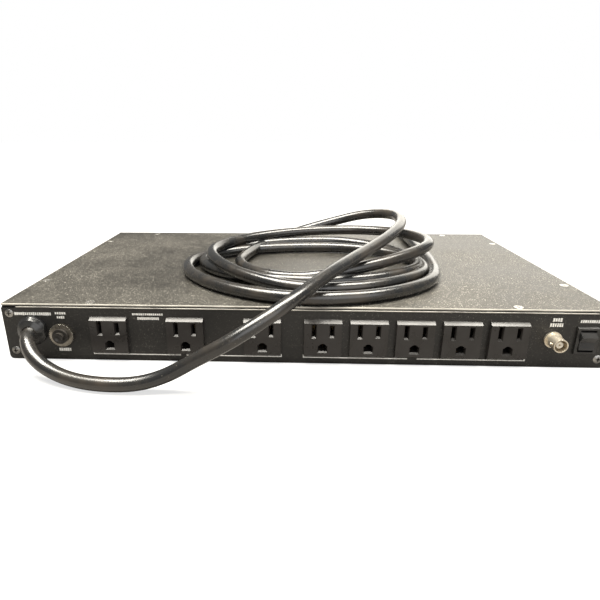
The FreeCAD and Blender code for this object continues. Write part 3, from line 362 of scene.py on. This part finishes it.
class Growth(Nodes):
    """A geometry tree with named inputs; each call of made() gives one plain mesh from it."""

    def __init__(self, name, **inputs):
        self.tree = bpy.data.node_groups.new(name, "GeometryNodeTree")
        self.tree.interface.new_socket("Geometry", in_out="OUTPUT", socket_type="NodeSocketGeometry")
        self.sockets = {label: self.tree.interface.new_socket(label, in_out="INPUT",
                                                              socket_type="NodeSocket" + kind)
                        for label, kind in inputs.items()}
        self.entry = self.tree.nodes.new("NodeGroupInput")

    def given(self, label):
        return Value(self, self.entry.outputs[label])

    def close(self, instances):
        """Ends the tree: real geometry in one material."""
        real = self.node("GeometryNodeRealizeInstances", None, [instances])
        painted = self.node("GeometryNodeSetMaterial", None, [real])
        self.node("NodeGroupOutput", None, [painted], out=None)

    def made(self, name, finish, **values):
        """Gives its sizes to the tree and returns the mesh that it grows."""
        for step in self.tree.nodes:
            if step.bl_idname == "GeometryNodeSetMaterial":
                step.inputs["Material"].default_value = finish.material
        holder = bpy.data.objects.new(name, bpy.data.meshes.new(name))
        bpy.context.scene.collection.objects.link(holder)
        growth = holder.modifiers.new("growth", "NODES")
        growth.node_group = self.tree
        for label, value in values.items():
            growth[self.sockets[label].identifier] = value
        ready = holder.evaluated_get(bpy.context.evaluated_depsgraph_get())
        mesh = bpy.data.meshes.new_from_object(ready)
        holder.modifiers.remove(growth)
        bpy.data.objects.remove(holder)
        return mesh


# Grip ribs: rings on a line along the plug's neck, each a little smaller than the one before.
RIBS_BACK, RIB_PITCH, RIB_COUNT, RIB_RADIUS, RIB_THICK = 0.0425, 0.0027, 5, 0.0074, 0.0008
RIB_SHRINK = 0.03
ribs = Growth("grip_ribs", First="Vector", Pitch="Float", Count="Int", Radius="Float", Thick="Float")
rib_line = ribs.node("GeometryNodeMeshLine", None,
                     {"Count": ribs.given("Count"), "Start Location": ribs.given("First"),
                      "Offset": ribs.node("ShaderNodeCombineXYZ", None, [ribs.given("Pitch")])})
rib_curve = ribs.node("GeometryNodeCurvePrimitiveCircle", None,
                      {"Resolution": RING_STEPS, "Radius": ribs.given("Radius")})
rib_section = ribs.node("GeometryNodeCurvePrimitiveCircle", None,
                        {"Resolution": 8, "Radius": ribs.given("Thick")})
rib_ring = ribs.node("GeometryNodeCurveToMesh", None, [rib_curve, rib_section])
shrink = 1 - RIB_SHRINK * ribs.node("GeometryNodeInputIndex")
ribs.close(ribs.node("GeometryNodeInstanceOnPoints", None,
                     {"Points": rib_line, "Instance": rib_ring, "Rotation": (0, math.pi / 2, 0),
                      "Scale": ribs.node("ShaderNodeCombineXYZ", None, [shrink, shrink, 1.0])}))

plug_rubber = jacket_finish("plug_rubber", (0.018, 0.018, 0.02, 1), (0.04, 0.036, 0.032, 1), 0.36)
moulding, (plug_face, plug_y, plug_z) = plug_mesh()
rings = ribs.made("plug_ribs", plug_rubber, First=(plug_face + RIBS_BACK, plug_y, plug_z),
                  Pitch=RIB_PITCH, Count=RIB_COUNT, Radius=RIB_RADIUS, Thick=RIB_THICK)
joined = bmesh.new()
joined.from_mesh(moulding)
joined.from_mesh(rings)
joined.to_mesh(moulding)
for polygon in moulding.polygons:
    polygon.use_smooth = len(polygon.vertices) == 4
    polygon.material_index = 0
plug = add_piece("plug_moulding", moulding, plug_rubber)
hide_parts("plug_body")

# ---------------------------------------------------------------- case
# Folded 1.2 mm steel: a pan with its rear and front walls, powder coated satin black, and a flat
# cover with a finer paint that has gone dusty and is scuffed by years of racks and cables.
REAR_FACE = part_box("rear_wall")[0][1]
CASE_BLACK = (0.011, 0.0105, 0.01, 1)
COVER_BLACK = (0.013, 0.012, 0.0105, 1)
FASCIA_BLACK = (0.018, 0.018, 0.019, 1)
DUST = (0.108, 0.101, 0.085, 1)
LINT = (0.68, 0.64, 0.56, 1)
# Pale grey-beige, a painted highlight on the cover's rear edge and on the rear wall's top bend.
PAINTED_EDGE_HIGHLIGHT = (0.4, 0.38, 0.335, 1)
# The cover's rear edge is painted pale over its last half millimetre, a painted highlight of the light
# along the sheet's edge, and the dust thickens towards it.
COVER_HIGHLIGHT_FROM = -0.1264
DUSTY_FROM, DUSTIEST_AT = 0.06, 0.12
EDGE_RADIUS = 0.0005


def coated(name, colour, rough, dusty, scuffed, grain_size=900, grain_deep=0.00003, painted_highlight_from=None):
    """Paint with an orange-peel grain, dust that gathers in patches, specks and thin scuffs. Behind
    the line painted_highlight_from, in metres, the edge is painted pale, a painted highlight."""
    paint = Finish(name)
    patches = paint.ramp(paint.noise(11, 5, 0.62), 0.36, 0.72)
    specks = paint.specks(480, 0.2) + paint.specks(1100, 0.24)
    back = paint.node("ShaderNodeSeparateXYZ", None, [paint.place], "Y") * -1
    haze = patches * dusty + dusty * 0.35
    if painted_highlight_from is not None:
        haze = haze + paint.ramp(back, DUSTY_FROM, DUSTIEST_AT) * patches * 0.3
    scuff = (paint.scratches(16, (1, 0.1, 1), 0.5, 0.012)
             + paint.scratches(21, (0.12, 1, 1), -0.35, 0.01))
    grain = paint.noise(grain_size, 3, 0.5)
    shade = paint.blend(haze + scuff * scuffed, colour, DUST)
    shade = paint.blend(specks * (patches * 0.8 + 0.2) * dusty * 3.5, shade, LINT)
    # Painted highlight: behind that line the cover's edge is painted pale grey-beige in uneven patches.
    if painted_highlight_from is not None:
        uneven = 0.6 + 0.4 * paint.ramp(paint.noise(40, 4), 0.4, 0.6)
        shade = paint.blend(paint.math_step(back, -painted_highlight_from) * uneven, shade, PAINTED_EDGE_HIGHLIGHT)
    return paint.surface(base_color=shade, roughness=haze * 0.5 + rough,
                         normal=paint.bump(grain, grain_deep, 0.7, EDGE_RADIUS))


case_paint = coated("case_paint", CASE_BLACK, 0.36, 0.05, 0.2)
cover_paint = coated("cover_paint", COVER_BLACK, 0.30, 0.3, 0.4, 1300, 0.00002, COVER_HIGHLIGHT_FROM)
fascia_paint = coated("fascia_paint", FASCIA_BLACK, 0.4, 0.03, 0.08, 700, 0.00004)
dress(case_paint, "base_pan", "rear_wall", "front_wall")
dress(cover_paint, "top_cover")
dress(fascia_paint, "front_panel")

# The rear wall's top bend stands out by the sheet's spring-back and is painted pale in streaks, a
# painted highlight of the light along the bend. It starts a flange's notch in from each corner.
BEND_REACH, BEND_LEVEL, BEND_OUT, BEND_STEPS = 0.2045, 0.0412, 0.00045, 8
bend_shape = bmesh.new()
ends = []
for x in (-BEND_REACH, BEND_REACH):
    arc = [math.pi * step / BEND_STEPS for step in range(BEND_STEPS + 1)]
    ends.append([bend_shape.verts.new((x, REAR_FACE - BEND_OUT * math.sin(turn),
                                       BEND_LEVEL + BEND_OUT * math.cos(turn))) for turn in arc])
for step in range(BEND_STEPS):
    bend_shape.faces.new((ends[0][step], ends[0][step + 1], ends[1][step + 1], ends[1][step]))
bend_shape.faces.new((ends[0][0], ends[1][0], ends[1][-1], ends[0][-1]))
bend_shape.faces.new(ends[0])
bend_shape.faces.new(ends[1])
bmesh.ops.recalc_face_normals(bend_shape, faces=bend_shape.faces)
bend_mesh = bpy.data.meshes.new("top_bend")
bend_shape.to_mesh(bend_mesh)
# Painted highlight: the bead is dark grey streaked with pale grey-beige, for the light along the bend.
painted_bend_highlight = Finish("painted_bend_highlight")
highlight_streaks = painted_bend_highlight.ramp(painted_bend_highlight.noise(50, 4, 0.6, (1, 0.2, 1)), 0.3, 0.55)
painted_bend_highlight.surface(base_color=painted_bend_highlight.blend(highlight_streaks, (0.13, 0.12, 0.11, 1), PAINTED_EDGE_HIGHLIGHT),
                     roughness=0.3)
add_piece("top_bend", bend_mesh, painted_bend_highlight)

# ---------------------------------------------------------------- screws
# Cross-recess steel screws: black oxide rubbed to bare metal on the walls and worn bright on the
# cover, and zinc plate for the standoffs, the earth stud and the board.
RIM_RADIUS = 0.0003


def metal(name, colour, worn, rough, stains=0.5, metallic=1.0):
    """Bare or plated metal: fine turning marks, and stains that dull it in patches."""
    made = Finish(name)
    stain = made.ramp(made.noise(140, 4, 0.6), 0.4, 0.72) * stains
    lines = made.noise(700, 2, 0.5, (1, 6, 1))
    return made.surface(base_color=made.blend(stain, colour, worn), metallic=metallic,
                        roughness=stain * 0.25 + lines * 0.1 + rough,
                        normal=made.bump(lines, 0.00002, 0.5, RIM_RADIUS))


screw_oxide = metal("screw_oxide", (0.42, 0.41, 0.39, 1), (0.1, 0.1, 0.1, 1), 0.22)
cover_oxide = metal("cover_screw_oxide", (0.8, 0.78, 0.73, 1), (0.35, 0.33, 0.31, 1), 0.24)
zinc = metal("zinc_plate", (0.62, 0.62, 0.6, 1), (0.42, 0.42, 0.4, 1), 0.28)
dress(screw_oxide, "rear_screws", "front_screws")
dress(cover_oxide, "cover_screws")
dress(zinc, "board_screws", "board_standoffs", "earth_stud", "earth_nut")

# ---------------------------------------------------------------- outlets
# Eight snap-in sockets moulded in black nylon with a spark-eroded face, and the brass rails that
# join their contacts. Plugs have rubbed the slots' edges.
OUTLETS = ["outlet_%d" % number for number in range(1, 9)]
MOULD_RADIUS = 0.00018


def moulded(name, dark, light, rough, grain_size=1100, grain_deep=0.00003, coat=0.0):
    """Moulded plastic: a fine grain from the mould and slow changes of shade and gloss."""
    plastic = Finish(name)
    cloud = plastic.ramp(plastic.noise(60, 3, 0.55), 0.38, 0.68)
    dust = plastic.specks(700, 0.12)
    grain = plastic.noise(grain_size, 2, 0.5)
    colour = plastic.blend(dust * 0.35, plastic.blend(cloud, dark, light), DUST)
    return plastic.surface(base_color=colour, roughness=cloud * 0.1 + rough,
                           normal=plastic.bump(grain, grain_deep, 0.7, MOULD_RADIUS),
                           coat_weight=coat, coat_roughness=0.12)


outlet_nylon = moulded("outlet_nylon", (0.021, 0.0185, 0.017, 1), (0.030, 0.027, 0.0255, 1), 0.26)
rail_brass = metal("rail_brass", (0.72, 0.55, 0.28, 1), (0.4, 0.27, 0.12, 1), 0.25)
dress(outlet_nylon, *OUTLETS)
dress(rail_brass, *[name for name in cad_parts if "_rail_" in name], "lamp_socket_contact",
      "plug_blades", "plug_earth_pin")

# ---------------------------------------------------------------- strain relief and breaker
# A glossy nylon bushing with flats grips the cord. Beside it the breaker's threaded collar carries
# a knurled ring nut in blackened brass and a dished push button that springs out when it trips.
bushing_nylon = moulded("bushing_nylon", (0.010, 0.010, 0.011, 1), (0.018, 0.018, 0.017, 1), 0.2,
                        420, 0.0002, 0.4)
breaker_plastic = moulded("breaker_plastic", (0.020, 0.018, 0.016, 1), (0.034, 0.030, 0.026, 1), 0.28)
bronze = metal("blackened_brass", (0.42, 0.39, 0.34, 1), (0.16, 0.145, 0.12, 1), 0.2, 0.8)
dress(bushing_nylon, "strain_relief", "strain_relief_nut")
dress(breaker_plastic, "breaker_body", "reset_button", "shutdown_relay")
dress(bronze, "breaker_nut")

# ---------------------------------------------------------------- lamp socket and switches
# A turned brass bayonet shell, nickel plated and slightly yellowed, with an off-white insulator
# round its centre contact. The rocker switches snap into the sheet, black with a fine grain.
nickel = metal("yellowed_nickel", (0.86, 0.79, 0.66, 1), (0.5, 0.4, 0.28, 1), 0.24, 0.6, 0.85)
insulator = moulded("insulator", (0.8, 0.73, 0.6, 1), (0.9, 0.84, 0.72, 1), 0.45)
switch_plastic = moulded("switch_plastic", (0.016, 0.016, 0.016, 1), (0.026, 0.025, 0.024, 1), 0.26,
                         900, 0.00002, 0.2)
dress(nickel, "lamp_socket_shell", "lamp_socket_nut")
dress(insulator, "lamp_socket_insulator")
dress(switch_plastic, "lamp_switch_housing", "lamp_rocker", "master_switch_housing", "master_rocker")

# ---------------------------------------------------------------- indicator lamps
# Two snap-in lenses in clear coloured plastic beside the master switch, unlit.
red_lens = moulded("red_lens", (0.42, 0.018, 0.014, 1), (0.3, 0.012, 0.01, 1), 0.1, 500, 0.0001, 0.8)
green_lens = moulded("green_lens", (0.03, 0.3, 0.06, 1), (0.02, 0.2, 0.05, 1), 0.1, 500, 0.0001, 0.8)
dress(red_lens, "protection_indicator")
dress(green_lens, "power_indicator")

# ---------------------------------------------------------------- filter board and lamp transformer
# A glass laminate board with a wound choke, three film capacitors, three varistors and the relay,
# on standoffs above the pan. The transformer's steel core is varnished and its winding is taped.
board_green = moulded("board_green", (0.03, 0.12, 0.045, 1), (0.06, 0.2, 0.08, 1), 0.3)
copper = metal("enamelled_copper", (0.62, 0.28, 0.12, 1), (0.35, 0.13, 0.06, 1), 0.22)
capacitor_film = moulded("capacitor_yellow", (0.62, 0.46, 0.06, 1), (0.7, 0.55, 0.12, 1), 0.35)
varistor_dip = moulded("varistor_blue", (0.03, 0.07, 0.26, 1), (0.06, 0.12, 0.36, 1), 0.3)
core_steel = metal("core_steel", (0.3, 0.29, 0.28, 1), (0.16, 0.12, 0.09, 1), 0.4)
winding_tape = moulded("winding_tape", (0.55, 0.46, 0.12, 1), (0.66, 0.58, 0.2, 1), 0.4)
dress(board_green, "filter_board")
dress(copper, "filter_choke")
dress(capacitor_film, "filter_capacitors")
dress(varistor_dip, "surge_varistors")
dress(core_steel, "transformer_core")
dress(winding_tape, "transformer_winding")

# ---------------------------------------------------------------- wiring
# The cord's three cores and the lamp circuit's pair, in thin coloured insulation.
SLEEVES = [
    ("live_core_sleeve", (0.02, 0.02, 0.02, 1), (0.024, 0.024, 0.023, 1), ["live_core", "lamp_return"]),
    ("neutral_core_sleeve", (0.75, 0.75, 0.75, 1), (0.9, 0.9, 0.8625, 1), ["neutral_core"]),
    ("earth_sleeve", (0.03, 0.28, 0.06, 1), (0.04, 0.36, 0.09, 1), ["earth_core"]),
    ("lamp_sleeve", (0.45, 0.03, 0.02, 1), (0.55, 0.05, 0.03, 1), ["lamp_feed"])]
for name, dark, light, wires in SLEEVES:
    dress(moulded(name, dark, light, 0.35), *wires)

# ---------------------------------------------------------------- printed marks
# White screen print on the rear wall. Rows of short dashes stand where the wording was, with a
# bracket line under each bank of outlets and a small ring beside the lamp switch for off.
INK_THICK = 0.00004
# Each row's left and right end and its lower and upper edge, in millimetres.
PRINT_ROWS = [
    (-206.8, -179.5, 34.8, 37.2), (-177.0, -168.8, 35.7, 37.6), (-175.9, -170.0, 32.5, 34.5),
    (-177.7, -168.5, 6.8, 9.4), (-120.4, -97.9, 35.8, 37.4), (-116.9, -101.0, 32.3, 34.5),
    (174.4, 180.9, 35.0, 37.8), (173.1, 182.3, 31.2, 33.9), (193.1, 206.5, 34.3, 36.7)]
# Bracket lines: left and right end, level, and the end that turns up.
BRACKETS = [(-152.1, -87, 5, "left"), (-83, -13, 5, "right"), (2.4, 77.5, 4.8, "left"),
            (84.3, 160.4, 4.8, "right")]
BRACKET_TALL = 2
LINE_THICK = 0.7
DASH_PITCH = 1.5
# The least and the most that a dash takes of its pitch and of its row's height.
DASH_WIDTHS, DASH_HEIGHTS = (0.6, 0.95), (0.8, 1.0)
HEIGHT_SEED = 7

rows = Growth("print_row", Start="Vector", Pitch="Float", Count="Int", Height="Float", Thick="Float",
              Seed="Int")
dash_line = rows.node("GeometryNodeMeshLine", None,
                      {"Count": rows.given("Count"), "Start Location": rows.given("Start"),
                       "Offset": rows.node("ShaderNodeCombineXYZ", None, [rows.given("Pitch")])})
width = rows.node("FunctionNodeRandomValue", {"data_type": "FLOAT"},
                  {2: DASH_WIDTHS[0], 3: DASH_WIDTHS[1], "Seed": rows.given("Seed")}, 1)
height = rows.node("FunctionNodeRandomValue", {"data_type": "FLOAT"},
                   {2: DASH_HEIGHTS[0], 3: DASH_HEIGHTS[1],
                    "Seed": rows.given("Seed") + HEIGHT_SEED}, 1)
dash = rows.node("GeometryNodeMeshCube", None, {"Size": (1, 1, 1)})
rows.close(rows.node("GeometryNodeInstanceOnPoints", None,
                     {"Points": dash_line, "Instance": dash,
                      "Scale": rows.node("ShaderNodeCombineXYZ", None,
                                         [width * rows.given("Pitch"), rows.given("Thick"),
                                          height * rows.given("Height")])}))

ink = Finish("white_ink")
rubbed = ink.ramp(ink.noise(900, 3, 0.6), 0.3, 0.5)
ink.surface(base_color=ink.blend(rubbed, (0.6, 0.59, 0.56, 1), (0.9, 0.89, 0.85, 1)), roughness=0.4)

print_shape = bmesh.new()
for seed, (left, right, low, high) in enumerate(PRINT_ROWS):
    count = round((right - left) / DASH_PITCH)
    pitch = (right - left) / count
    middle = ((left + pitch / 2) / 1000, REAR_FACE - INK_THICK / 2, (low + high) / 2000)
    row = rows.made("print_row", ink, Start=middle, Pitch=pitch / 1000, Count=count,
                    Height=(high - low) / 1000, Thick=INK_THICK, Seed=seed)
    print_shape.from_mesh(row)


def ink_bar(left, right, low, high):
    """One straight line of the print, in millimetres."""
    bar = bmesh.ops.create_cube(print_shape, size=1)["verts"]
    for corner in bar:
        corner.co = ((left + right + 2 * corner.co.x * (right - left)) / 2000,
                     REAR_FACE - INK_THICK / 2 + corner.co.y * INK_THICK,
                     (low + high + 2 * corner.co.z * (high - low)) / 2000)


for left, right, level, hook in BRACKETS:
    ink_bar(left, right, level - LINE_THICK / 2, level + LINE_THICK / 2)
    start = left if hook == "left" else right - LINE_THICK
    ink_bar(start, start + LINE_THICK, level + LINE_THICK / 2, level + BRACKET_TALL)

# The ring: four hoops, outer and inner, at the wall and at the ink's face.
RING_X, RING_Z, RING_RADIUS, RING_THICK, RING_SIDES = 206.8, 12.3, 1.35, 0.4, 24
RING_TURNS = [2 * math.pi * side / RING_SIDES for side in range(RING_SIDES)]
hole = RING_RADIUS - RING_THICK
section = ((RING_RADIUS, 0), (RING_RADIUS, INK_THICK), (hole, INK_THICK), (hole, 0))
hoops = [[print_shape.verts.new(((RING_X + radius * math.cos(turn)) / 1000, REAR_FACE - depth,
                                 (RING_Z + radius * math.sin(turn)) / 1000)) for turn in RING_TURNS]
         for radius, depth in section]
ring_faces = [print_shape.faces.new((one[side], one[side - 1], two[side - 1], two[side]))
              for one, two in zip(hoops, hoops[1:] + hoops[:1]) for side in range(RING_SIDES)]
bmesh.ops.recalc_face_normals(print_shape, faces=ring_faces)
print_mesh = bpy.data.meshes.new("printed_marks")
print_shape.to_mesh(print_mesh)
add_piece("printed_marks", print_mesh, ink)
